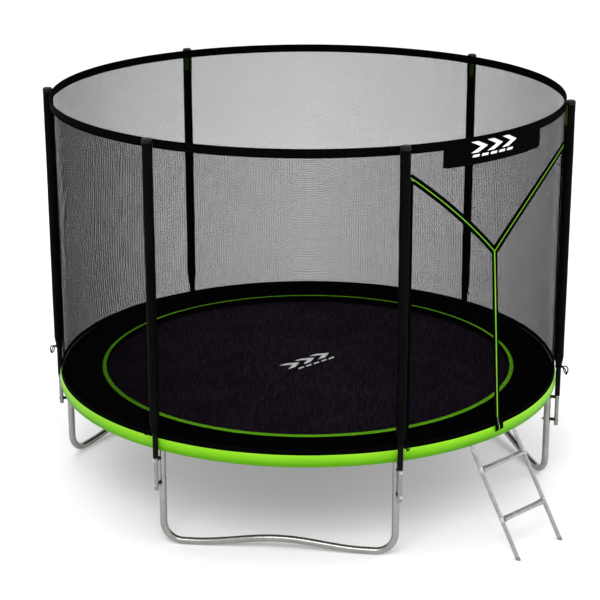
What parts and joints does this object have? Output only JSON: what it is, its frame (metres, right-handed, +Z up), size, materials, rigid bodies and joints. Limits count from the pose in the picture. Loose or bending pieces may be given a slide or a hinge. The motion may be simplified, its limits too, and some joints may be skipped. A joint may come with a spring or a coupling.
{
  "type": "backyard trampoline",
  "caption": "Round garden trampoline on U-shaped legs, with a padded edge, a zipped safety net on padded poles, and a hook-on ladder.",
  "frame": {"origin": "middle of the base of the whole object's box, on the ground", "axes": "+Z up; the net's door and the ladder face -Y; +X is to the right of someone who faces the door"},
  "size_m": [3.2056, 3.4932, 2.412],
  "materials": {
    "galvanised_tube": "satin",
    "black_tube": "satin",
    "zinc_hardware": "satin",
    "ladder_tube": "satin",
    "foam_sleeve": "satin",
    "cap_plastic": "satin",
    "mat_fabric": "matte",
    "pad_cover": "satin",
    "green_skirt": "satin",
    "net_mesh": "matte",
    "black_webbing": "matte"
  },
  "bodies": {
    "frame": {"rail_1": "galvanised_tube", "rail_2": "galvanised_tube", "rail_3": "galvanised_tube", "rail_4": "galvanised_tube", "rail_5": "galvanised_tube", "rail_6": "galvanised_tube", "leg_right": "galvanised_tube", "leg_back": "galvanised_tube", "leg_left": "galvanised_tube", "pole_lower_1": "galvanised_tube", "pole_upper_1": "black_tube", "foam_sleeve_1": "foam_sleeve", "pole_cap_1": "cap_plastic", "bolt_low_1": "zinc_hardware", "bolt_high_1": "zinc_hardware", "pole_lower_2": "galvanised_tube", "pole_upper_2": "black_tube", "foam_sleeve_2": "foam_sleeve", "pole_cap_2": "cap_plastic", "bolt_low_2": "zinc_hardware", "bolt_high_2": "zinc_hardware", "pole_lower_3": "galvanised_tube", "pole_upper_3": "black_tube", "foam_sleeve_3": "foam_sleeve", "pole_cap_3": "cap_plastic", "bolt_low_3": "zinc_hardware", "bolt_high_3": "zinc_hardware", "pole_lower_4": "galvanised_tube", "pole_upper_4": "black_tube", "foam_sleeve_4": "foam_sleeve", "pole_cap_4": "cap_plastic", "bolt_low_4": "zinc_hardware", "bolt_high_4": "zinc_hardware", "pole_lower_5": "galvanised_tube", "pole_upper_5": "black_tube", "foam_sleeve_5": "foam_sleeve", "pole_cap_5": "cap_plastic", "bolt_low_5": "zinc_hardware", "bolt_high_5": "zinc_hardware", "pole_lower_6": "galvanised_tube", "pole_upper_6": "black_tube", "foam_sleeve_6": "foam_sleeve", "pole_cap_6": "cap_plastic", "bolt_low_6": "zinc_hardware", "bolt_high_6": "zinc_hardware", "springs": "zinc_hardware", "safety_pad": "pad_cover", "pad_skirt": "green_skirt", "net_wall": "net_mesh", "net_header": "net_mesh", "net_hoop": "black_webbing", "banner": "black_webbing"},
    "mat": {"jump_mat": "mat_fabric"},
    "door_right": {"door_flap_right": "net_mesh"},
    "door_left": {"door_flap_left": "net_mesh"},
    "slider": {"zip_slider": "zinc_hardware"},
    "ladder": {"ladder_rail_left": "ladder_tube", "ladder_rail_right": "ladder_tube", "ladder_rung_lower": "ladder_tube", "ladder_rung_upper": "ladder_tube"}
  },
  "joints": [
    {"name": "mat_bounce", "type": "slide", "parent": "frame", "child": "mat", "axis": [0, 0, 1], "range_m": [-0.28, 0.012], "stiffness_N_per_m": 5000, "springref_m": 0.01, "deforming": ["springs"]},
    {"name": "door_left_swing", "type": "hinge", "parent": "frame", "child": "door_left", "pos_m": [-0.72283, -1.19088, 1.4], "axis": [0, 0, -1], "range_deg": [0, 100]},
    {"name": "door_right_swing", "type": "hinge", "parent": "frame", "child": "door_right", "pos_m": [0.70757, -1.18963, 1.4], "axis": [0, 0, 1], "range_deg": [0, 100]},
    {"name": "zip_slide", "type": "slide", "parent": "door_left", "child": "slider", "axis": [-0.0731, 0.0062, 0.9973], "range_m": [0, 0.98]},
    {"name": "ladder_swing", "type": "hinge", "parent": "frame", "child": "ladder", "pos_m": [-0.11438, -1.32287, 0.62], "axis": [-0.9976, 0.0698, 0], "range_deg": [0, 12]}
  ]
}
